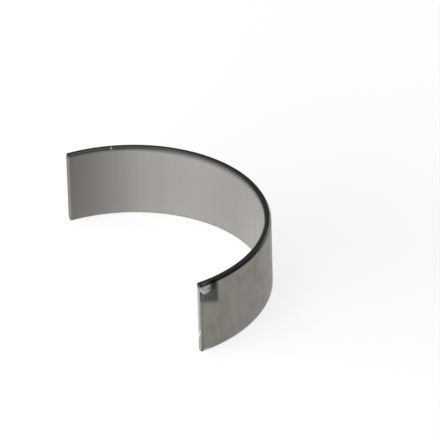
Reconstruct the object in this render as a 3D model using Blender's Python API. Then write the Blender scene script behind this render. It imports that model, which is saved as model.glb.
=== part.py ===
"""Engine bearing shell: one half of a thin-wall plain bearing, a bent steel strip with a bonded
lining, shown free, before it is pressed into its housing. It stands on one side face.

Metres, +Z up along the bore's axis. The arc's crown points to +Y and the end with the locating
lug lies at +X. The origin is the middle of the bounding box, on the side face it stands on."""

import math

import bmesh
import bpy
from mathutils import Vector

# The fit: what the shell is pressed into, and what it carries
HOUSING_BORE = 0.0610
WALL = 0.0015
WIDTH = 0.0171

# Free shape: the ends spring open by this much across the joint faces
FREE_SPREAD = 0.0016

# Edge breaks: the outer one reaches further down the back than into the wall
OUTER_CHAMFER_IN = 0.0004
OUTER_CHAMFER_DOWN = 0.0007
INNER_CHAMFER = 0.0003
JOINT_CHAMFER = 0.00015

# The bore is eased away from the journal near each joint face
RELIEF_LENGTH = 0.0060
RELIEF_DEPTH = 0.00004

# Locating lug, pressed out of the back at the +X joint face, near the upper side face
LUG_HEIGHT = 0.0013
LUG_WIDTH = 0.0021
LUG_LENGTH = 0.0028
LUG_CREST = 0.0005
LUG_SETBACK = 0.0001
LUG_TO_SIDE_FACE = 0.0015
LUG_EDGE = 0.0001

# Pocket that the punch leaves in the bore behind the lug
POCKET_DEPTH = 0.0010
POCKET_WIDTH = 0.0019
POCKET_LENGTH = 0.0030
POCKET_FROM_JOINT = 0.0006
POCKET_HEEL = 0.0004

# How far a cutter or an added block runs past the surface it meets
OVERRUN = 0.0004
# Depth of the lug's root in the wall, as a share of the wall
ROOT_SHARE = 0.5
ARC_STEPS = 180
SHARP_ANGLE = math.radians(25)

STEEL_GREY = (0.22, 0.21, 0.19, 1.0)


def free_half_angle():
    """Half of the free shell's arc. Its outer length is half of the housing's circumference, and
    its ends stand FREE_SPREAD further apart: sin(h) / h = chord / arc, solved by halving."""
    ratio = (HOUSING_BORE + FREE_SPREAD) / (math.pi * HOUSING_BORE / 2)
    low, high = math.radians(45), math.radians(135)
    while high - low > 1e-9:
        middle = (low + high) / 2
        if math.sin(middle) / middle > ratio:
            low = middle
        else:
            high = middle
    return (low + high) / 2


HALF_ANGLE = free_half_angle()
OUTER_RADIUS = math.pi * HOUSING_BORE / 4 / HALF_ANGLE
BORE_RADIUS = OUTER_RADIUS - WALL
LUG_JOINT_ANGLE = math.pi / 2 - HALF_ANGLE


def clear_scene():
    for obj in list(bpy.data.objects):
        bpy.data.objects.remove(obj, do_unlink=True)


def wall_section():
    """The wall's section as (radius, height), round from the lower bore edge."""
    return [
        (BORE_RADIUS, INNER_CHAMFER),
        (BORE_RADIUS + INNER_CHAMFER, 0),
        (OUTER_RADIUS - OUTER_CHAMFER_IN, 0),
        (OUTER_RADIUS, OUTER_CHAMFER_DOWN),
        (OUTER_RADIUS, WIDTH - OUTER_CHAMFER_DOWN),
        (OUTER_RADIUS - OUTER_CHAMFER_IN, WIDTH),
        (BORE_RADIUS + INNER_CHAMFER, WIDTH),
        (BORE_RADIUS, WIDTH - INNER_CHAMFER),
    ]


def on_plan(from_joint, radius):
    """(x, y) at this radius and this distance round the back from the lug's joint face."""
    angle = LUG_JOINT_ANGLE + from_joint / OUTER_RADIUS
    return radius * math.cos(angle), radius * math.sin(angle)


def new_object(name, bm):
    mesh = bpy.data.meshes.new(name)
    bmesh.ops.recalc_face_normals(bm, faces=bm.faces)
    bm.to_mesh(mesh)
    bm.free()
    obj = bpy.data.objects.new(name, mesh)
    bpy.context.scene.collection.objects.link(obj)
    return obj


def ease_bore(bm):
    """Moves the bore's points outwards near both joint faces, deepest at the face itself."""
    middle_of_wall = OUTER_RADIUS - WALL / 2
    for vert in bm.verts:
        radius = math.hypot(vert.co.x, vert.co.y)
        from_crown = abs(math.atan2(vert.co.x, vert.co.y))
        from_joint = (HALF_ANGLE - from_crown) * OUTER_RADIUS
        if radius < middle_of_wall and from_joint < RELIEF_LENGTH:
            depth = RELIEF_DEPTH * (1 - from_joint / RELIEF_LENGTH)
            vert.co.xy *= (radius + depth) / radius


def break_joint_edges(bm):
    """A small chamfer all round both joint faces."""
    section_sides = len(wall_section())
    joint_faces = [face for face in bm.faces if len(face.verts) == section_sides]
    edges = [edge for face in joint_faces for edge in face.edges]
    bmesh.ops.bevel(
        bm, geom=edges, offset=JOINT_CHAMFER, offset_type="OFFSET", segments=1, affect="EDGES"
    )


def make_wall(name):
    """The section swung round the bore's axis from one joint face to the other."""
    bm = bmesh.new()
    verts = []
    for radius, height in wall_section():
        x, y = on_plan(0, radius)
        verts.append(bm.verts.new((x, y, height)))
    section = bm.faces.new(verts)
    bmesh.ops.spin(
        bm,
        geom=[section],
        cent=(0, 0, 0),
        axis=(0, 0, 1),
        angle=2 * HALF_ANGLE,
        steps=ARC_STEPS,
    )
    rims = [edge for edge in bm.edges if edge.is_boundary]
    if rims:
        bmesh.ops.holes_fill(bm, edges=rims, sides=len(verts))
    ease_bore(bm)
    break_joint_edges(bm)
    return new_object(name, bm)


def make_block(name, outline, low, high):
    """A solid with this plan outline, given as (distance from the joint face, radius)."""
    bm = bmesh.new()
    bottom = [bm.verts.new((*on_plan(*point), low)) for point in outline]
    face = bm.faces.new(bottom)
    raised = bmesh.ops.extrude_face_region(bm, geom=[face])
    top = [item for item in raised["geom"] if isinstance(item, bmesh.types.BMVert)]
    bmesh.ops.translate(bm, verts=top, vec=Vector((0, 0, high - low)))
    return new_object(name, bm)


def past_the_end(start, end):
    """The point OVERRUN further along the slope from start to end, in height."""
    share = 1 + OVERRUN / abs(end[1] - start[1])
    return start[0] + (end[0] - start[0]) * share, start[1] + (end[1] - start[1]) * share


def make_lug():
    """Full height over its crest, then a straight ramp down into the back."""
    crest_end = (LUG_SETBACK + LUG_CREST, OUTER_RADIUS + LUG_HEIGHT)
    ramp_end = past_the_end(crest_end, (LUG_LENGTH, OUTER_RADIUS))
    root = OUTER_RADIUS - ROOT_SHARE * WALL
    outline = [
        (LUG_SETBACK, root),
        (LUG_SETBACK, OUTER_RADIUS + LUG_HEIGHT),
        crest_end,
        ramp_end,
        (ramp_end[0], root),
    ]
    top = WIDTH - LUG_TO_SIDE_FACE
    lug = make_block("lug_block", outline, top - LUG_WIDTH, top)
    rounding = lug.modifiers.new("rounded edges", "BEVEL")
    rounding.width = LUG_EDGE
    rounding.segments = 2
    rounding.limit_method = "ANGLE"
    return lug


def make_pocket():
    """A steep heel on the joint side, then a floor that rises back to the bore."""
    heel_foot = (POCKET_FROM_JOINT, BORE_RADIUS)
    deepest = (POCKET_FROM_JOINT + POCKET_HEEL, BORE_RADIUS + POCKET_DEPTH)
    floor_end = (POCKET_FROM_JOINT + POCKET_LENGTH, BORE_RADIUS)
    outline = [
        past_the_end(deepest, heel_foot),
        deepest,
        past_the_end(deepest, floor_end),
    ]
    middle = WIDTH - LUG_TO_SIDE_FACE - LUG_WIDTH / 2
    return make_block(
        "pocket_cutter", outline, middle - POCKET_WIDTH / 2, middle + POCKET_WIDTH / 2
    )


def add_boolean(target, other, operation):
    other.hide_render = True
    other.display_type = "WIRE"
    modifier = target.modifiers.new(other.name, "BOOLEAN")
    modifier.operation = operation
    modifier.solver = "EXACT"
    modifier.object = other


def steel():
    material = bpy.data.materials.new("ground bearing steel")
    material.use_nodes = True
    shader = material.node_tree.nodes["Principled BSDF"]
    shader.inputs["Base Color"].default_value = STEEL_GREY
    shader.inputs["Metallic"].default_value = 1.0
    shader.inputs["Roughness"].default_value = 0.4
    return material


def stand_on_origin(shell, helpers):
    """Puts the middle of the finished shell's box over the origin, and the helpers with it."""
    bpy.context.view_layer.update()
    finished = shell.evaluated_get(bpy.context.evaluated_depsgraph_get())
    corners = [Vector(corner) for corner in finished.bound_box]
    middle = (corners[0] + corners[6]) / 2
    for obj in (shell, *helpers):
        obj.location = (-middle.x, -middle.y, 0)


def main():
    clear_scene()
    shell = make_wall("bearing_shell")
    shell.data.materials.append(steel())
    shell.data.shade_smooth()
    shell.data.set_sharp_from_angle(angle=SHARP_ANGLE)
    lug = make_lug()
    pocket = make_pocket()
    add_boolean(shell, lug, "UNION")
    add_boolean(shell, pocket, "DIFFERENCE")
    stand_on_origin(shell, (lug, pocket))


main()
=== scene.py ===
"""The finished look of an engine bearing shell: one half of a thin-wall plain bearing, standing on
a side face. Its surface is one closed sheet worked out along the arc, with the lug and its pocket
pressed into it, and a finish for each way that a face was made."""

import math

import bpy
import numpy as np
from mathutils import Matrix, Vector


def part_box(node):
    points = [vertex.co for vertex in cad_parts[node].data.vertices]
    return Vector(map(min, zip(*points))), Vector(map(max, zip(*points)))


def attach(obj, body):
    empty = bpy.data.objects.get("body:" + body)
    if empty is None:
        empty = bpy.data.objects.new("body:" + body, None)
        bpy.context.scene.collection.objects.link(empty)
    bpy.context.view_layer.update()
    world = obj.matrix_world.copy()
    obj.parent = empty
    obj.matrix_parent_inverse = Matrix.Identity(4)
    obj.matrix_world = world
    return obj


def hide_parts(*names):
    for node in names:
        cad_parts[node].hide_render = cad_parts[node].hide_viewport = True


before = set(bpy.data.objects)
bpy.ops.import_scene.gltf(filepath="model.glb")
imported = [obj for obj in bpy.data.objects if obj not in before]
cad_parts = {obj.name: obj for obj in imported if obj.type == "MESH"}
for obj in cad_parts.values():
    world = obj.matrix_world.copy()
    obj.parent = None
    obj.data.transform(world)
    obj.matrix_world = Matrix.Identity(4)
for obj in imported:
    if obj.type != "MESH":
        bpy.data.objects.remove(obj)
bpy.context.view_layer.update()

NODE = "bearing_shell"
node_low, node_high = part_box(NODE)

# Sizes of the real shell, in metres
HOUSING_BORE = 0.0610
FREE_SPREAD = 0.0016
WALL = 0.0015
LINING_DEPTH = 0.0003
WIDTH = node_high.z - node_low.z
OUTER_CHAMFER_IN = 0.0004
OUTER_CHAMFER_DOWN = 0.0007
INNER_CHAMFER = 0.0003
JOINT_ROUND = 0.00015
CORNER_ROUND = 0.00006
RELIEF_LENGTH = 0.0060
RELIEF_DEPTH = 0.00004

# Locating lug and the punch's pocket behind it
LUG_HEIGHT = 0.0013
LUG_WIDTH = 0.0021
LUG_LENGTH = 0.0028
LUG_CREST = 0.0005
LUG_SETBACK = 0.00015
LUG_TO_SIDE_FACE = 0.0015
LUG_DRAFT = 0.00012
POCKET_DEPTH = 0.0010
POCKET_WIDTH = 0.0019
POCKET_LENGTH = 0.0030
POCKET_FROM_JOINT = 0.0006
POCKET_HEEL = 0.0004
PRESS_ROUND = 0.00003
RAMP_ROUND = 0.00024

# Rectangle round the lug, sunk a little, where the back is painted dark as the lug's shade: its
# length, how far down its slanting lower edge has faded out at the joint, its depth and soft
# edges; and the dark blot of painted shade by its far corner
MARK_LENGTH = 0.0047
MARK_DOWN = 0.0046
MARK_SKEW = 0.38
MARK_DEPTH = 0.00003
MARK_EDGE = 0.0003
MARK_LOW_EDGE = 0.0009
BLOT_ALONG = 0.0035
BLOT_DOWN = 0.0012
BLOT_LENGTH = 0.0007
BLOT_HEIGHT = 0.0012

# Bright sheared metal above the lug, painted lighter as a highlight: its length, how far it
# reaches over the lug's upper edge at the ramp's end, and its strength by the chamfer and on the
# joint's rounding
BRIGHT_LENGTH = 0.0017
BRIGHT_OVER_EDGE = 0.0007
BRIGHT_BY_CHAMFER = 0.55
BRIGHT_ON_ROUNDING = 0.5

# Dark line along the back's edge at the lug's joint, with painted shade at the foot: how far
# round the arc and up from the foot, and its strength all the way up and what the foot adds
EDGE_LINE_ALONG = 0.00032
EDGE_LINE_REACH = 0.00018
EDGE_LINE_FOOT = 0.0015
EDGE_LINE_THROUGHOUT = 0.25
EDGE_LINE_MORE_AT_FOOT = 0.55

# Handling nick across the lug's joint face: it climbs from the bore edge towards the back
NICK_HEIGHT = 0.0035
NICK_SLANT = 1.4
NICK_LENGTH = 0.0007
NICK_ACROSS = 0.0012
NICK_DEPTH = 0.00004
NICK_REACH = 0.0003

# Smaller nick in the upper bore edge, near the plain end
RIM_NICK_ALONG = 0.08555
RIM_NICK_LENGTH = 0.0004
RIM_NICK_DEPTH = 0.00006
RIM_NICK_IN = 0.0002
RIM_NICK_DOWN = 0.0001
RIM_NICK_REACH = 0.00035

# Shares of the arc over which the lining's painted shade changes: it darkens towards the plain
# end and beside the crown, and the shaded edge below the upper chamfer is narrower past the crown
SHADED_TO_END = (0.84, 0.99)
SHADED_PAST_CROWN = (0.48, 0.56)
SHADE_FADES_PAST_CROWN = (0.8, 0.64)
SHADED_EDGE_NARROWS = (0.7, 0.95)
WIDE_SHADED_EDGE = 0.0011
NARROW_SHADED_EDGE = 0.00055

# Lines up the wall, and rings along the arc, in each stretch of the surface's grid; the shares
# of the half wall at which the joint faces have rings; and the least gap between two lines
EVEN_LINES = 24
LUG_WALL_LINES = 6
MARK_LINES = 8
NICK_LINES = 22
RIM_LINES = 5
SIDE_FACE_STEPS = 4
CORNER_POINTS = 4
CREST_RINGS = 24
MARK_RINGS = 48
LONG_RINGS = 250
RIM_NICK_RINGS = 12
JOINT_ROUND_RINGS = 4
JOINT_FACE_INSETS = (0.96, 0.8, 0.64, 0.48, 0.34)
CLOSEST = 0.000004

# Edges that turn by more than this stay sharp
SHARP_ANGLE = math.radians(32)

# Where the photograph was taken from: the fitted view of the bore's axis at the base
VIEW_AZIMUTH = 62.51
VIEW_ELEVATION = 32.13
VIEW_ROLL = -1.61
VIEW_RADII = 41.656
PICTURE_PIXELS = 440
FOCAL_PIXELS = 6000
AXIS_PIXEL = (128.85, 285.87)
SENSOR_MM = 36.0

# Studio: the floor's own glow in view, its grey for the lamp light on top, and the dark room
FLOOR_HALF = 3.0
FLOOR_GLOW = 0.8
FLOOR_SHOWN_GREY = (0.33, 0.33, 0.33, 1)
ROOM_GREY = (0.11, 0.11, 0.112, 1)

MM = 0.001


def free_half_angle():
    """Half of the free arc: sin(h) / h = chord over the joint faces / outer arc, by halving."""
    ratio = (HOUSING_BORE + FREE_SPREAD) / (math.pi * HOUSING_BORE / 2)
    low, high = math.radians(45), math.radians(135)
    while high - low > 1e-9:
        middle = (low + high) / 2
        if math.sin(middle) / middle > ratio:
            low = middle
        else:
            high = middle
    return (low + high) / 2


HALF_ANGLE = free_half_angle()
OUTER_RADIUS = math.pi * HOUSING_BORE / 4 / HALF_ANGLE
BORE_RADIUS = OUTER_RADIUS - WALL
ARC_LENGTH = 2 * HALF_ANGLE * OUTER_RADIUS
LUG_JOINT_ANGLE = math.pi / 2 - HALF_ANGLE
LUG_TOP = WIDTH - LUG_TO_SIDE_FACE
LUG_MIDDLE = LUG_TOP - LUG_WIDTH / 2
LUG_UPPER_EDGE = LUG_TOP - LUG_DRAFT
# The bore's axis, from the box, which ends at the crown and at the plain joint's edge break
AXIS = Vector((
    node_low.x + OUTER_RADIUS * math.cos(LUG_JOINT_ANGLE + JOINT_ROUND / OUTER_RADIUS),
    node_high.y - OUTER_RADIUS,
    node_low.z,
))


def hinge(x, rounding):
    """0 below nought and x above it, with a parabola of this half-length over the corner."""
    bent = (x + rounding) ** 2 / (4 * rounding)
    return np.where(x > rounding, x, np.where(x < -rounding, 0.0, bent))


def rise(x, start, end, rounding=PRESS_ROUND):
    """Climbs from 0 at start to 1 at end in a straight line with rounded corners."""
    return (hinge(x - start, rounding) - hinge(x - end, rounding)) / (end - start)


def between(x, low, high, slope, rounding=PRESS_ROUND):
    """1 from low to high, and 0 outside: a slope of this length inside each end."""
    return rise(x, low, low + slope, rounding) * (1 - rise(x, high - slope, high, rounding))


def lug_rise(along, height):
    """Height of the lug over the back, from the distance along the arc and up the shell:
    a steep end face, a short level crest and a ramp, between two steep side walls."""
    crest_end = LUG_SETBACK + LUG_CREST
    end_face = rise(along, LUG_SETBACK, LUG_SETBACK + LUG_DRAFT)
    ramp = 1 - rise(along, crest_end, LUG_LENGTH, RAMP_ROUND)
    walls = between(height, LUG_TOP - LUG_WIDTH, LUG_TOP, LUG_DRAFT)
    return LUG_HEIGHT * end_face * ramp * walls


def pocket_depth(along, height):
    """Depth of the punch's pocket in the bore: a steep heel, then a floor that fades out."""
    deepest = POCKET_FROM_JOINT + POCKET_HEEL
    heel = rise(along, POCKET_FROM_JOINT, deepest)
    floor = 1 - rise(along, deepest, POCKET_FROM_JOINT + POCKET_LENGTH, RAMP_ROUND)
    half = POCKET_WIDTH / 2
    walls = between(height, LUG_MIDDLE - half, LUG_MIDDLE + half, LUG_DRAFT)
    return POCKET_DEPTH * heel * floor * walls


def shade_patch_round_lug(along, height):
    """1 on the rectangle round the lug where the lug's shade is painted dark, 0 outside, with soft
    edges. Its lower edge is the softest and slants down along the arc."""
    far_edge = 1 - rise(along, MARK_LENGTH - MARK_EDGE, MARK_LENGTH, MARK_EDGE)
    low = WIDTH - MARK_DOWN - MARK_SKEW * along
    low_edge = rise(height - low, 0, MARK_LOW_EDGE, MARK_EDGE)
    return np.clip(far_edge * low_edge, 0, 1)


def painted_corner_blot(along, height):
    """Painted shade: an upright dark blot over the chamfer and the far corner of the lug's shade,
    a flat-topped bell of the fourth power of the distance, taller than it is long."""
    off = np.hypot((along - BLOT_ALONG) / BLOT_LENGTH, (WIDTH - BLOT_DOWN - height) / BLOT_HEIGHT)
    return np.exp(-(off**4))


def sheared_and_highlit(along, height):
    """1 on the lug's upper wall and on the strip between it and the side face, 0 elsewhere:
    sheared metal, painted bright as a highlight. A fall over the far half of the lug times a climb
    over its upper edge, and the climb starts further down the ramp the further it is from the
    joint. It fades towards the chamfer."""
    near = 1 - rise(along, BRIGHT_LENGTH, LUG_LENGTH, MARK_EDGE)
    over = BRIGHT_OVER_EDGE * rise(along, LUG_SETBACK, LUG_LENGTH)
    above = rise(height, LUG_UPPER_EDGE - over - PRESS_ROUND, LUG_UPPER_EDGE + PRESS_ROUND)
    darkened = (1 - BRIGHT_BY_CHAMFER) * rise(height, LUG_TOP, WIDTH - OUTER_CHAMFER_DOWN)
    return np.clip(near * above * (1 - darkened), 0, 1)


def dark_edge_line(along, height):
    """A thin dark line beside the joint's edge below the lug's shade, with painted shade heaviest
    at
    the foot: a bell about its middle line times a falling share of the height."""
    line = np.exp(-(((along - EDGE_LINE_ALONG) / EDGE_LINE_REACH) ** 2))
    below_mark = 1 - rise(height, WIDTH - MARK_DOWN - MARK_EDGE, WIDTH - MARK_DOWN)
    return line * below_mark * (EDGE_LINE_THROUGHOUT + EDGE_LINE_MORE_AT_FOOT * np.exp(-height / EDGE_LINE_FOOT))


def joint_nick(along, depth, height):
    """1 along the nick across the lug's joint face, fading to 0: a bell about its slanting line
    times a bell round the arc and a flat-topped one, of the fourth power, into the wall."""
    line = NICK_HEIGHT + NICK_SLANT * depth
    up = np.exp(-(((height - line) / (NICK_LENGTH / 2)) ** 2))
    return up * np.exp(-((along / NICK_REACH) ** 2) - (depth / NICK_ACROSS) ** 4)


def rim_nick(along, depth, height):
    """1 in the middle of the nick in the upper bore edge, fading to 0: a bell along the arc
    times a bell about a point by the chamfer's middle."""
    off = np.hypot(depth - RIM_NICK_IN, WIDTH - RIM_NICK_DOWN - height) / RIM_NICK_REACH
    return np.exp(-(((along - RIM_NICK_ALONG) / (RIM_NICK_LENGTH / 2)) ** 2) - off**2)


def stops(*stretches):
    """Values along a line, from stretches of (start, end, number of steps), without those that
    all but meet the one before."""
    values = np.concatenate([np.linspace(a, b, n + 1) for a, b, n in stretches])
    values = np.unique(np.round(values, 8))
    apart = np.concatenate([[True], np.diff(values) > CLOSEST])
    return values[apart]


def heights_between(low, high):
    """Lines up a face: even ones, and close ones over the walls of the lug and the pocket, below
    the lug's upper edge, at the lower edge of the lug's painted shade and over both nicks."""
    half = POCKET_WIDTH / 2
    walls = [
        LUG_TOP - LUG_WIDTH,
        LUG_UPPER_EDGE,
        LUG_MIDDLE - half,
        LUG_MIDDLE + half - LUG_DRAFT,
    ]
    close = [(w - PRESS_ROUND, w + LUG_DRAFT + PRESS_ROUND, LUG_WALL_LINES) for w in walls]
    mark = WIDTH - MARK_DOWN
    mark_low = mark - MARK_SKEW * MARK_LENGTH - MARK_EDGE
    close.append((mark_low, mark + MARK_LOW_EDGE + MARK_EDGE, MARK_LINES))
    below_edge = LUG_UPPER_EDGE - PRESS_ROUND
    close.append((below_edge - BRIGHT_OVER_EDGE, below_edge, LUG_WALL_LINES))
    nick_high = NICK_HEIGHT + NICK_SLANT * NICK_ACROSS + NICK_LENGTH
    close.append((NICK_HEIGHT - NICK_LENGTH, nick_high, NICK_LINES))
    close.append((high - 2 * RIM_NICK_REACH, high, RIM_LINES))
    lines = stops((low, high, EVEN_LINES), *close)
    return lines[(lines > low + CLOSEST) & (lines < high - CLOSEST)]


def rounded_corner(before, corner, after):
    """A short curve in place of a corner: a quadratic one from edge to edge."""
    before, corner, after = map(np.array, (before, corner, after))
    start = corner + (before - corner) / np.linalg.norm(before - corner) * CORNER_ROUND
    end = corner + (after - corner) / np.linalg.norm(after - corner) * CORNER_ROUND
    t = np.linspace(0, 1, CORNER_POINTS)[:, None]
    return (1 - t) ** 2 * start + 2 * t * (1 - t) * corner + t**2 * end


LINING, SIDE_FACE, BACK, JOINT_FACE = range(4)


def wall_loop():
    """The wall's section as one closed loop of (depth through the wall, height) points, up the
    bore, over the upper side face, down the back and under, and each step's finish."""
    corners = [
        (0, INNER_CHAMFER),
        (0, WIDTH - INNER_CHAMFER),
        (INNER_CHAMFER, WIDTH),
        (WALL - OUTER_CHAMFER_IN, WIDTH),
        (WALL, WIDTH - OUTER_CHAMFER_DOWN),
        (WALL, OUTER_CHAMFER_DOWN),
        (WALL - OUTER_CHAMFER_IN, 0),
        (INNER_CHAMFER, 0),
    ]
    finishes = [LINING, SIDE_FACE, SIDE_FACE, SIDE_FACE, BACK, SIDE_FACE, SIDE_FACE, SIDE_FACE]
    points, finish = [], []
    for i, corner in enumerate(corners):
        after = corners[(i + 1) % len(corners)]
        curve = rounded_corner(corners[i - 1], corner, after)
        points.append(curve)
        beside = {finishes[i - 1], finishes[i]} - {SIDE_FACE}
        finish += [beside.pop() if beside else SIDE_FACE] * (len(curve) - 1)
        start = curve[-1]
        end = rounded_corner(corner, after, corners[(i + 2) % len(corners)])[0]
        if finishes[i] in (LINING, BACK):
            lines = heights_between(min(start[1], end[1]), max(start[1], end[1]))
            lines = lines if end[1] > start[1] else lines[::-1]
            inner = np.stack([np.full(len(lines), start[0]), lines], axis=1)
        else:
            share = np.linspace(0, 1, SIDE_FACE_STEPS + 1)[1:-1, None]
            inner = start + (end - start) * share
        points.append(inner)
        finish += [finishes[i]] * (len(inner) + 1)
    return np.concatenate(points), np.array(finish)


def arc_stops():
    """Places of the rings along the arc, close together over the lug, at both ends and over
    the nick in the upper bore edge."""
    crest_end = LUG_SETBACK + LUG_CREST
    mark_end = MARK_LENGTH + 2 * MARK_EDGE
    return stops(
        (JOINT_ROUND, crest_end + RAMP_ROUND, CREST_RINGS),
        (crest_end, mark_end, MARK_RINGS),
        (mark_end, ARC_LENGTH - JOINT_ROUND, LONG_RINGS),
        (RIM_NICK_ALONG - RIM_NICK_LENGTH, RIM_NICK_ALONG + RIM_NICK_LENGTH, RIM_NICK_RINGS),
    )


def end_rings():
    """(distance along the arc, inset) of the rings over one joint face, from its middle line
    out: flat steps, then a quarter circle."""
    turn = np.linspace(math.pi / 2, 0, JOINT_ROUND_RINGS + 1)[:-1]
    flat = [share * WALL / 2 for share in JOINT_FACE_INSETS] + [1.2 * JOINT_ROUND]
    along = np.concatenate([np.zeros(len(flat)), JOINT_ROUND * (1 - np.sin(turn))])
    inset = np.concatenate([flat, JOINT_ROUND * (1 - np.cos(turn))])
    return along, inset, len(flat)


def place(along, depth, height):
    """Puts points given as distance along the arc, depth through the wall from the bore, and
    height into space: round the bore's axis by along / outer radius."""
    angle = LUG_JOINT_ANGLE + along / OUTER_RADIUS
    radius = BORE_RADIUS + depth
    x = AXIS.x + radius * np.cos(angle)
    y = AXIS.y + radius * np.sin(angle)
    return np.stack([x, y, AXIS.z + height], axis=-1)


def shell_surface():
    """The shell as a grid: the section's loop carried along the arc. Near each joint face the
    loop draws in round a quarter circle, and over the face itself it shrinks to a line. The
    relief and the pocket deepen the bore, and the lug raises the back."""
    loop, finish = wall_loop()
    half = np.array([WALL / 2, WIDTH / 2])
    end_along, end_inset, flat_rings = end_rings()
    body = arc_stops()
    along = np.concatenate([end_along, body, ARC_LENGTH - end_along[::-1]])
    inset = np.concatenate([end_inset, np.zeros(len(body)), end_inset[::-1]])
    grid = half + (loop - half) * (1 - inset[:, None, None] / half)
    depth, height = grid[..., 0], grid[..., 1]
    along = np.repeat(along[:, None], len(loop), axis=1)
    from_joint = np.minimum(along, ARC_LENGTH - along)
    relief = RELIEF_DEPTH * np.clip(1 - from_joint / RELIEF_LENGTH, 0, 1)
    on_bore = np.isclose(loop[:, 0], 0) & (inset[:, None] == 0)
    back_lines = np.isclose(loop[:, 0], WALL)
    on_back = back_lines & (inset[:, None] == 0)
    shaped = depth + relief * (1 - depth / WALL)
    shaped = shaped + on_bore * pocket_depth(along, height)
    # The patch round the lug sinks the back a little, and its mask also carries the lug's painted
    # shade
    shade_patch = back_lines * shade_patch_round_lug(along, height)
    strength = BRIGHT_ON_ROUNDING * back_lines + (1 - BRIGHT_ON_ROUNDING) * on_back
    # Bright sheared metal above the lug, painted lighter as a highlight
    sheared_highlight = strength * sheared_and_highlit(along, height)
    shaped = shaped + on_back * (lug_rise(along, height) - MARK_DEPTH * shade_patch)
    across = joint_nick(along, depth, height)
    rim = rim_nick(along, depth, height)
    sunk = RIM_NICK_DEPTH * rim
    points = place(along + NICK_DEPTH * across, shaped + sunk, height - sunk)
    knocked = np.maximum(across, rim)
    unrolled = np.stack([along, height, shaped], axis=-1)
    # Painted shade: the blot by the far corner of the lug's shade, and the dark line by the
    # joint's edge that is darkest at the foot
    dark = np.maximum(painted_corner_blot(along, height), dark_edge_line(along, height))
    outer_side = loop[:, 0] > WALL - OUTER_CHAMFER_IN
    shade_and_highlight = np.stack([shade_patch, sheared_highlight, outer_side * dark], axis=-1)
    return points, unrolled, shade_and_highlight, knocked, finish, flat_rings


def grid_faces(rings, sides):
    """Four-sided faces of a grid that is closed round its loop, turned to face outwards."""
    ring = np.arange(rings - 1)[:, None] * sides
    side = np.arange(sides)[None, :]
    after = (side + 1) % sides
    quads = np.stack([ring + side, ring + after, ring + sides + after, ring + sides + side], -1)
    return quads.reshape(-1, 4)


def make_shell(materials):
    """The shell's mesh, with three attributes on its points: unrolled is (distance along the
    arc, height, depth through the wall), the next is the painted light (the lug's painted shade,
    the bright sheared metal with its painted highlight, and the painted shade of the blot and the
    dark edge line), and knocked is 1 in both nicks."""
    points, unrolled, shade_and_highlight, knocked, finish, flat_rings = shell_surface()
    rings, sides = points.shape[:2]
    quads = grid_faces(rings, sides)
    near_cap = list(range(sides))[::-1]
    far_cap = list(range((rings - 1) * sides, rings * sides))
    mesh = bpy.data.meshes.new("shell_surface")
    mesh.from_pydata(points.reshape(-1, 3), [], quads.tolist() + [near_cap, far_cap])
    for material in materials:
        mesh.materials.append(material)
    slots = np.repeat(finish[None, :], rings - 1, axis=0)
    slots[:flat_rings] = JOINT_FACE
    slots[-flat_rings:] = JOINT_FACE
    slots = np.concatenate([slots.reshape(-1), [JOINT_FACE, JOINT_FACE]])
    mesh.polygons.foreach_set("material_index", slots.astype(np.int32))
    for name, values in (("unrolled", unrolled), ("shade_and_highlight", shade_and_highlight)):
        attribute = mesh.attributes.new(name, "FLOAT_VECTOR", "POINT")
        attribute.data.foreach_set("vector", values.reshape(-1).astype(np.float32))
    attribute = mesh.attributes.new("knocked", "FLOAT", "POINT")
    attribute.data.foreach_set("value", knocked.reshape(-1).astype(np.float32))
    mesh.shade_smooth()
    mesh.set_sharp_from_angle(angle=SHARP_ANGLE)
    mesh.update()
    shell = bpy.data.objects.new("shell", mesh)
    bpy.context.scene.collection.objects.link(shell)
    return shell


def linear(hex_colour):
    """Linear colour of an sRGB hex value."""
    channels = [int(hex_colour[i : i + 2], 16) / 255 for i in (1, 3, 5)]
    return [c / 12.92 if c <= 0.04045 else ((c + 0.055) / 1.055) ** 2.4 for c in channels] + [1.0]


def add(tree, kind, settings=None, links=None):
    """Adds a node. Settings are its attributes, or values of the inputs of that name or number;
    links give an input the output that feeds it."""
    node = tree.nodes.new(kind)
    for key, value in (settings or {}).items():
        if isinstance(key, str) and hasattr(node, key):
            setattr(node, key, value)
        else:
            node.inputs[key].default_value = value
    for key, output in (links or {}).items():
        tree.links.new(output, node.inputs[key])
    return node


def new_material(name):
    material = bpy.data.materials.new(name)
    material.use_nodes = True
    material.node_tree.nodes.clear()
    return material, material.node_tree


def parts_of(tree, attribute):
    """The three numbers of one of the shell's attributes."""
    whole = add(tree, "ShaderNodeAttribute", {"attribute_name": attribute})
    return add(tree, "ShaderNodeSeparateXYZ", links={0: whole.outputs["Vector"]}).outputs


def drawn_out_noise(tree, along_mm, up_mm, through_mm, detail=2.0):
    """Machining lines: noise with grains of this size along the arc, up the shell and through
    the wall."""
    place_on_shell = add(tree, "ShaderNodeAttribute", {"attribute_name": "unrolled"})
    scale = [1 / (size * MM) for size in (along_mm, up_mm, through_mm)]
    mapping = add(tree, "ShaderNodeMapping", {"Scale": scale},
                  {"Vector": place_on_shell.outputs["Vector"]})
    noise = add(tree, "ShaderNodeTexNoise", {"Scale": 1.0, "Detail": detail, "Roughness": 0.6},
                {"Vector": mapping.outputs[0]})
    return noise.outputs["Fac"]


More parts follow.
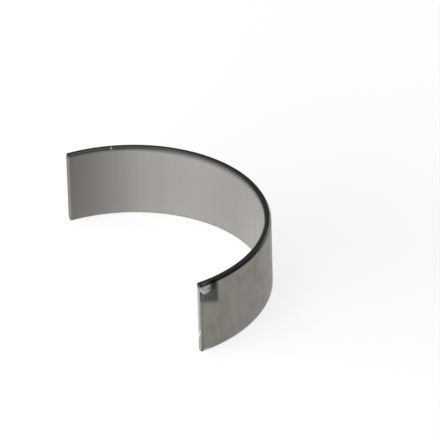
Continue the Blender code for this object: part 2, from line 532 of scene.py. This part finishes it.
def bare_and_glint_where_knocked(tree, colour, rough):
    """The colour and roughness, with bright matt bare metal in both nicks, painted light to stand
    for their glints.
    """
    knocked = add(tree, "ShaderNodeAttribute", {"attribute_name": "knocked"}).outputs["Fac"]
    # Bright bare metal in the nicks, painted light to stand for their glints
    bare_glint = add(tree, "ShaderNodeMix", {"data_type": "RGBA", 7: linear("#cfcdc8")},
               {0: knocked, 6: colour})
    matt = add(tree, "ShaderNodeMix", {3: 0.8}, {0: knocked, 2: rough})
    return bare_glint.outputs[2], matt.outputs[0]


def finish_metal(tree, colour, rough, bump_height, bump_mm):
    """Ends a metal: its colour, roughness and bump go into one shader and the output."""
    bump = add(tree, "ShaderNodeBump", {"Distance": bump_mm * MM}, {"Height": bump_height})
    shader = add(tree, "ShaderNodeBsdfPrincipled", {"Metallic": 1.0},
                 {"Base Color": colour, "Roughness": rough, "Normal": bump.outputs[0]})
    add(tree, "ShaderNodeOutputMaterial", links={"Surface": shader.outputs[0]})


def broached_lining():
    """Aluminium-tin lining, broached: pale satin grey with fine straight lines up the bore, and
    bands about 4 mm wide that are a shade darker. The real lines are about 0.1 mm apart, and are
    drawn 0.35 mm wide so that they show. Painted shade darkens the lining over the last millimetre
    below the upper chamfer, towards the plain end, and a little beside the crown."""
    material, tree = new_material("broached_lining")
    fine = drawn_out_noise(tree, 0.35, 30, 30)
    wide = drawn_out_noise(tree, 4.0, 60, 60, 1.0)
    fine_share = add(tree, "ShaderNodeMapRange", {"From Min": 0.35, "From Max": 0.65},
                     {"Value": fine})
    wide_share = add(tree, "ShaderNodeMapRange",
                     {"From Min": 0.3, "From Max": 0.7, "To Max": 0.6}, {"Value": wide})
    lines = add(tree, "ShaderNodeMix", {"data_type": "RGBA", 6: linear("#9c9995"),
                7: linear("#a29f9a")}, {0: fine_share.outputs[0]})
    banded = add(tree, "ShaderNodeMix", {"data_type": "RGBA", 7: linear("#989590")},
                 {0: wide_share.outputs[0], 6: lines.outputs[2]})
    along, height, _ = parts_of(tree, "unrolled")
    by_the_end = add(tree, "ShaderNodeMapRange",
                     {"From Min": SHADED_TO_END[0] * ARC_LENGTH,
                      "From Max": SHADED_TO_END[1] * ARC_LENGTH, "To Max": 0.9}, {"Value": along})
    past_crown = add(tree, "ShaderNodeMapRange",
                     {"From Min": SHADED_PAST_CROWN[0] * ARC_LENGTH,
                      "From Max": SHADED_PAST_CROWN[1] * ARC_LENGTH, "To Max": 0.3},
                     {"Value": along})
    by_the_crown = add(tree, "ShaderNodeMapRange",
                       {"From Min": SHADE_FADES_PAST_CROWN[0] * ARC_LENGTH,
                        "From Max": SHADE_FADES_PAST_CROWN[1] * ARC_LENGTH},
                       {"Value": along, "To Max": past_crown.outputs[0]})
    shade_share = add(tree, "ShaderNodeMath", {"operation": "MAXIMUM"},
                     {0: by_the_end.outputs[0], 1: by_the_crown.outputs[0]})
    # Painted shade towards the plain end and beside the crown
    darkened = add(tree, "ShaderNodeMix", {"data_type": "RGBA", 7: linear("#7d7a76")},
                 {0: shade_share.outputs[0], 6: banded.outputs[2]})
    # Painted shade over the last millimetre below the upper chamfer
    shade_from = add(tree, "ShaderNodeMapRange",
                    {"From Min": SHADED_EDGE_NARROWS[0] * ARC_LENGTH,
                     "From Max": SHADED_EDGE_NARROWS[1] * ARC_LENGTH,
                     "To Min": WIDTH - INNER_CHAMFER - WIDE_SHADED_EDGE,
                     "To Max": WIDTH - INNER_CHAMFER - NARROW_SHADED_EDGE}, {"Value": along})
    by_the_edge = add(tree, "ShaderNodeMapRange",
                      {"From Max": WIDTH - INNER_CHAMFER, "To Max": 0.95},
                      {"Value": height, "From Min": shade_from.outputs[0]})
    colour = add(tree, "ShaderNodeMix", {"data_type": "RGBA", 7: linear("#4c4b48")},
                 {0: by_the_edge.outputs[0], 6: darkened.outputs[2]})
    rough = add(tree, "ShaderNodeMapRange",
                {"From Min": 0.3, "From Max": 0.7, "To Min": 0.52, "To Max": 0.58},
                {"Value": fine})
    colour, rough = bare_and_glint_where_knocked(tree, colour.outputs[2], rough.outputs[0])
    finish_metal(tree, colour, rough, fine, 0.0015)
    return material


def rolled_back():
    """Steel back, rolled and tin-flashed: warm grey with faint lines and with blotches about
    4 mm across. The real lines are about 0.1 mm apart, and are drawn 0.5 mm wide so that they
    show. Round the lug the back is painted dark as the lug's shade. Above the lug, over its upper
    edge too, it is sheared metal, matt and painted bright as a highlight. A dark line runs along
    the joint's edge, with painted shade heaviest at the foot."""
    material, tree = new_material("rolled_steel_back")
    fine = drawn_out_noise(tree, 0.5, 25, 25)
    position = add(tree, "ShaderNodeTexCoord").outputs["Object"]
    blotches = add(tree, "ShaderNodeTexNoise",
                   {"Scale": 260.0, "Detail": 4.0, "Roughness": 0.6}, {"Vector": position})
    fine_share = add(tree, "ShaderNodeMapRange", {"From Min": 0.3, "From Max": 0.7},
                     {"Value": fine})
    blotch_share = add(tree, "ShaderNodeMapRange",
                       {"From Min": 0.45, "From Max": 0.7, "To Max": 0.6},
                       {"Value": blotches.outputs["Fac"]})
    rolled = add(tree, "ShaderNodeMix", {"data_type": "RGBA", 6: linear("#88847d"),
                 7: linear("#908c85")}, {0: fine_share.outputs[0]})
    aged = add(tree, "ShaderNodeMix", {"data_type": "RGBA", 7: linear("#7d7973")},
               {0: blotch_share.outputs[0], 6: rolled.outputs[2]})
    shade_patch, sheared_highlight, dark = parts_of(tree, "shade_and_highlight")
    # Painted shade of the lug on the back round it
    patch_shaded = add(tree, "ShaderNodeMix", {"data_type": "RGBA", 7: linear("#4e4e4f")},
                    {0: shade_patch, 6: aged.outputs[2]})
    # Sheared metal, painted near white as a highlight
    sheared_highlit_colour = add(tree, "ShaderNodeMix", {"data_type": "RGBA", 7: linear("#e8e7e3")},
                  {0: sheared_highlight, 6: patch_shaded.outputs[2]})
    # Painted shade of the blot, and the dark line by the joint with painted shade at its foot
    colour = add(tree, "ShaderNodeMix", {"data_type": "RGBA", 7: linear("#2b2b28")},
                 {0: dark, 6: sheared_highlit_colour.outputs[2]})
    rolled_rough = add(tree, "ShaderNodeMapRange",
                       {"From Min": 0.3, "From Max": 0.7, "To Min": 0.40, "To Max": 0.48},
                       {"Value": blotches.outputs["Fac"]})
    rough = add(tree, "ShaderNodeMix", {3: 0.8}, {0: sheared_highlight, 2: rolled_rough.outputs[0]})
    finish_metal(tree, colour.outputs[2], rough.outputs[0], fine, 0.003)
    return material


def turned_side_face():
    """Steel side face, turned: fairly smooth dark grey, which mirrors the dark room above the
    table, with faint rings along the arc. The real rings are about 0.05 mm apart, and are drawn
    0.12 to 0.2 mm wide so that they show. The chamfer towards the back is painted a shade darker
    as shade, and painted paler over the lug as a highlight. Painted shade darkens the face's flat
    end at the lug's joint, the last corner at both joints, and the chamfer at the blot of painted
    shade by the lug."""
    material, tree = new_material("turned_side_face")
    rings = drawn_out_noise(tree, 20, 0.2, 0.12)
    share = add(tree, "ShaderNodeMapRange", {"From Min": 0.35, "From Max": 0.65},
                {"Value": rings})
    turned = add(tree, "ShaderNodeMix", {"data_type": "RGBA", 6: linear("#696a6b"),
                 7: linear("#737371")}, {0: share.outputs[0]})
    along, _, depth = parts_of(tree, "unrolled")
    # Outer chamfer: painted highlight over the lug, painted shade past it
    past_lug = add(tree, "ShaderNodeMapRange",
                   {"From Min": LUG_LENGTH - 1.5 * MM, "From Max": LUG_LENGTH}, {"Value": along})
    chamfer = add(tree, "ShaderNodeMix", {"data_type": "RGBA", 6: linear("#a8a8a6"),
                  7: linear("#5c5c5a")}, {0: past_lug.outputs[0]})
    # Painted shade on the flat end at the lug's joint
    at_joint = add(tree, "ShaderNodeMapRange",
                   {"From Min": 1.4 * MM, "From Max": 0.4 * MM, "To Max": 0.85}, {"Value": along})
    flat = add(tree, "ShaderNodeMix", {"data_type": "RGBA", 7: linear("#2f2f2d")},
               {0: at_joint.outputs[0], 6: turned.outputs[2]})
    on_chamfer = add(tree, "ShaderNodeMapRange",
                     {"From Min": WALL - OUTER_CHAMFER_IN - 0.05 * MM,
                      "From Max": WALL - OUTER_CHAMFER_IN + 0.05 * MM}, {"Value": depth})
    whole = add(tree, "ShaderNodeMix", {"data_type": "RGBA"},
                {0: on_chamfer.outputs[0], 6: flat.outputs[2], 7: chamfer.outputs[2]})
    from_joint = add(tree, "ShaderNodeMath", {"operation": "PINGPONG", 1: ARC_LENGTH / 2},
                     {0: along})
    # Painted shade on the last corner at both joints
    at_corner = add(tree, "ShaderNodeMapRange",
                    {"From Min": 0.5 * MM, "From Max": 0.3 * MM, "To Max": 0.9},
                    {"Value": from_joint.outputs[0]})
    shaded_corners = add(tree, "ShaderNodeMix", {"data_type": "RGBA", 7: linear("#2f2f2d")},
                {0: at_corner.outputs[0], 6: whole.outputs[2]})
    # Painted shade of the blot on the chamfer
    _, _, dark = parts_of(tree, "shade_and_highlight")
    colour = add(tree, "ShaderNodeMix", {"data_type": "RGBA", 7: linear("#1e1e1d")},
                 {0: dark, 6: shaded_corners.outputs[2]})
    rough = add(tree, "ShaderNodeMapRange",
                {"From Min": 0.3, "From Max": 0.7, "To Min": 0.21, "To Max": 0.29},
                {"Value": rings})
    colour, rough = bare_and_glint_where_knocked(tree, colour.outputs[2], rough.outputs[0])
    finish_metal(tree, colour, rough, rings, 0.001)
    return material


def broached_joint_face():
    """Joint face, broached bright across the wall: a thin paler lining layer at its bore edge,
    then the steel, which is darker towards the back's edge and low down below the nick. The plain
    end is darker, and the upper end of both is painted dark as shade. The real lines across the
    wall are about 0.1 mm apart, and are drawn 0.25 mm wide so that they show."""
    material, tree = new_material("broached_joint_face")
    lines = drawn_out_noise(tree, 2, 0.25, 3)
    share = add(tree, "ShaderNodeMapRange", {"From Min": 0.35, "From Max": 0.65},
                {"Value": lines})
    steel = add(tree, "ShaderNodeMix", {"data_type": "RGBA", 6: linear("#a7a59f"),
                7: linear("#adaba5")}, {0: share.outputs[0]})
    along, height, depth = parts_of(tree, "unrolled")
    in_steel = add(tree, "ShaderNodeMapRange",
                   {"From Min": LINING_DEPTH, "From Max": LINING_DEPTH + 0.3 * MM},
                   {"Value": depth})
    layers = add(tree, "ShaderNodeMix", {"data_type": "RGBA", 6: linear("#cccac4")},
                 {0: in_steel.outputs[0], 7: steel.outputs[2]})
    by_the_back = add(tree, "ShaderNodeMapRange",
                      {"From Min": WALL - 0.55 * MM, "From Max": WALL - 0.2 * MM},
                      {"Value": depth})
    edged = add(tree, "ShaderNodeMix", {"data_type": "RGBA", 7: linear("#6c6b67")},
                {0: by_the_back.outputs[0], 6: layers.outputs[2]})
    low_down = add(tree, "ShaderNodeMapRange",
                   {"From Min": NICK_HEIGHT, "From Max": NICK_HEIGHT - 0.8 * MM, "To Max": 0.5},
                   {"Value": height})
    darkened = add(tree, "ShaderNodeMix", {"data_type": "RGBA", 7: linear("#8b8983")},
                 {0: low_down.outputs[0], 6: edged.outputs[2]})
    # Painted shade on the upper end of both joint faces
    shaded_top = add(tree, "ShaderNodeMapRange",
               {"From Min": WIDTH - 1.2 * MM, "From Max": WIDTH - 0.8 * MM}, {"Value": height})
    plain_end = add(tree, "ShaderNodeMath", {"operation": "GREATER_THAN", 1: ARC_LENGTH / 2},
                    {0: along})
    both_ends = add(tree, "ShaderNodeMix", {"data_type": "RGBA", 7: linear("#74726d")},
                    {0: plain_end.outputs[0], 6: darkened.outputs[2]})
    colour = add(tree, "ShaderNodeMix", {"data_type": "RGBA", 7: linear("#363838")},
                 {0: shaded_top.outputs[0], 6: both_ends.outputs[2]})
    rough = add(tree, "ShaderNodeMapRange",
                {"From Min": 0.3, "From Max": 0.7, "To Min": 0.32, "To Max": 0.40},
                {"Value": lines})
    colour, rough = bare_and_glint_where_knocked(tree, colour.outputs[2], rough.outputs[0])
    finish_metal(tree, colour, rough, lines, 0.001)
    return material


def view_axes(azimuth, elevation, roll):
    """Right, up and backward directions of a camera at this azimuth, elevation and roll."""
    azimuth, elevation, roll = map(math.radians, (azimuth, elevation, roll))
    back = Vector((
        math.sin(azimuth) * math.cos(elevation),
        -math.cos(azimuth) * math.cos(elevation),
        math.sin(elevation),
    ))
    right = Vector((0, 0, 1)).cross(back).normalized()
    up = back.cross(right)
    turned_right = right * math.cos(roll) + up * math.sin(roll)
    turned_up = up * math.cos(roll) - right * math.sin(roll)
    return turned_right, turned_up, back


def make_camera():
    """A long lens at the photograph's angle, with the bore's axis at the fitted pixel."""
    right, up, back = view_axes(VIEW_AZIMUTH, VIEW_ELEVATION, VIEW_ROLL)
    distance = VIEW_RADII * OUTER_RADIUS
    across = (AXIS_PIXEL[0] - PICTURE_PIXELS / 2) / FOCAL_PIXELS * distance
    down = (AXIS_PIXEL[1] - PICTURE_PIXELS / 2) / FOCAL_PIXELS * distance
    data = bpy.data.cameras.new("camera")
    data.sensor_width = SENSOR_MM
    data.lens = SENSOR_MM * FOCAL_PIXELS / PICTURE_PIXELS
    camera = bpy.data.objects.new("camera", data)
    place_at = AXIS + back * distance - right * across + up * down
    turn = Matrix((right, up, back)).transposed().to_4x4()
    camera.matrix_world = Matrix.Translation(place_at) @ turn
    bpy.context.scene.collection.objects.link(camera)
    bpy.context.scene.camera = camera


def make_lamp(name, azimuth, elevation, distance, width, height, share):
    """A soft box that looks at the shell from this distance. Share is the light that it gives
    there, as a part of a full, even light."""
    _, _, back = view_axes(azimuth, elevation, 0)
    data = bpy.data.lights.new(name, "AREA")
    data.shape = "RECTANGLE"
    data.size = width
    data.size_y = height
    data.energy = share * math.pi**2 * distance**2
    lamp = bpy.data.objects.new(name, data)
    middle = (node_low + node_high) / 2
    lamp.location = middle + back * distance
    lamp.rotation_euler = back.to_track_quat("Z", "Y").to_euler()
    bpy.context.scene.collection.objects.link(lamp)


def make_lights():
    """A low and very wide key from the camera's left, and a faint broad one almost overhead.
    The rest of the room is dark, and so are the shell's upward faces."""
    make_lamp(
        "key_softbox",
        azimuth=VIEW_AZIMUTH - 66,
        elevation=11,
        distance=0.8,
        width=1.6,
        height=0.3,
        share=2.2,
    )
    make_lamp(
        "top_softbox",
        azimuth=VIEW_AZIMUTH + 180,
        elevation=82,
        distance=0.7,
        width=1.0,
        height=1.0,
        share=0.42,
    )


def make_world():
    """The dark, even room round the lamps."""
    world = bpy.data.worlds.new("studio")
    bpy.context.scene.world = world
    world.use_nodes = True
    background = world.node_tree.nodes["Background"]
    background.inputs["Color"].default_value = ROOM_GREY
    background.inputs["Strength"].default_value = 1.0


def make_floor():
    """White sweep: in view and in reflections it glows most of the way to white, and the rest
    of its light is lamp light, which keeps the shell's shadow."""
    material, tree = new_material("white_sweep")
    ray = add(tree, "ShaderNodeLightPath")
    seen = add(tree, "ShaderNodeMath", {"operation": "MAXIMUM"},
               {0: ray.outputs["Is Camera Ray"], 1: ray.outputs["Is Glossy Ray"]})
    seen = add(tree, "ShaderNodeMath", {"operation": "MAXIMUM"},
               {0: seen.outputs[0], 1: ray.outputs["Is Transmission Ray"]})
    plain = add(tree, "ShaderNodeBsdfDiffuse", {"Color": linear("#e6e6e6")})
    glow = add(tree, "ShaderNodeEmission", {"Color": (1, 1, 1, 1), "Strength": FLOOR_GLOW})
    dim = add(tree, "ShaderNodeBsdfDiffuse", {"Color": FLOOR_SHOWN_GREY})
    shown = add(tree, "ShaderNodeAddShader", links={0: glow.outputs[0], 1: dim.outputs[0]})
    mixed = add(tree, "ShaderNodeMixShader",
                links={0: seen.outputs[0], 1: plain.outputs[0], 2: shown.outputs[0]})
    add(tree, "ShaderNodeOutputMaterial", links={"Surface": mixed.outputs[0]})
    half = FLOOR_HALF
    corners = [(-half, -half, 0), (half, -half, 0), (half, half, 0), (-half, half, 0)]
    mesh = bpy.data.meshes.new("floor")
    mesh.from_pydata(corners, [], [(0, 1, 2, 3)])
    mesh.materials.append(material)
    floor = bpy.data.objects.new("floor", mesh)
    bpy.context.scene.collection.objects.link(floor)


def main():
    finishes = [broached_lining(), turned_side_face(), rolled_back(), broached_joint_face()]
    shell = make_shell(finishes)
    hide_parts(NODE)
    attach(shell, "root")
    make_floor()
    make_lights()
    make_world()
    make_camera()
    bpy.context.scene.view_settings.view_transform = "Standard"


main()
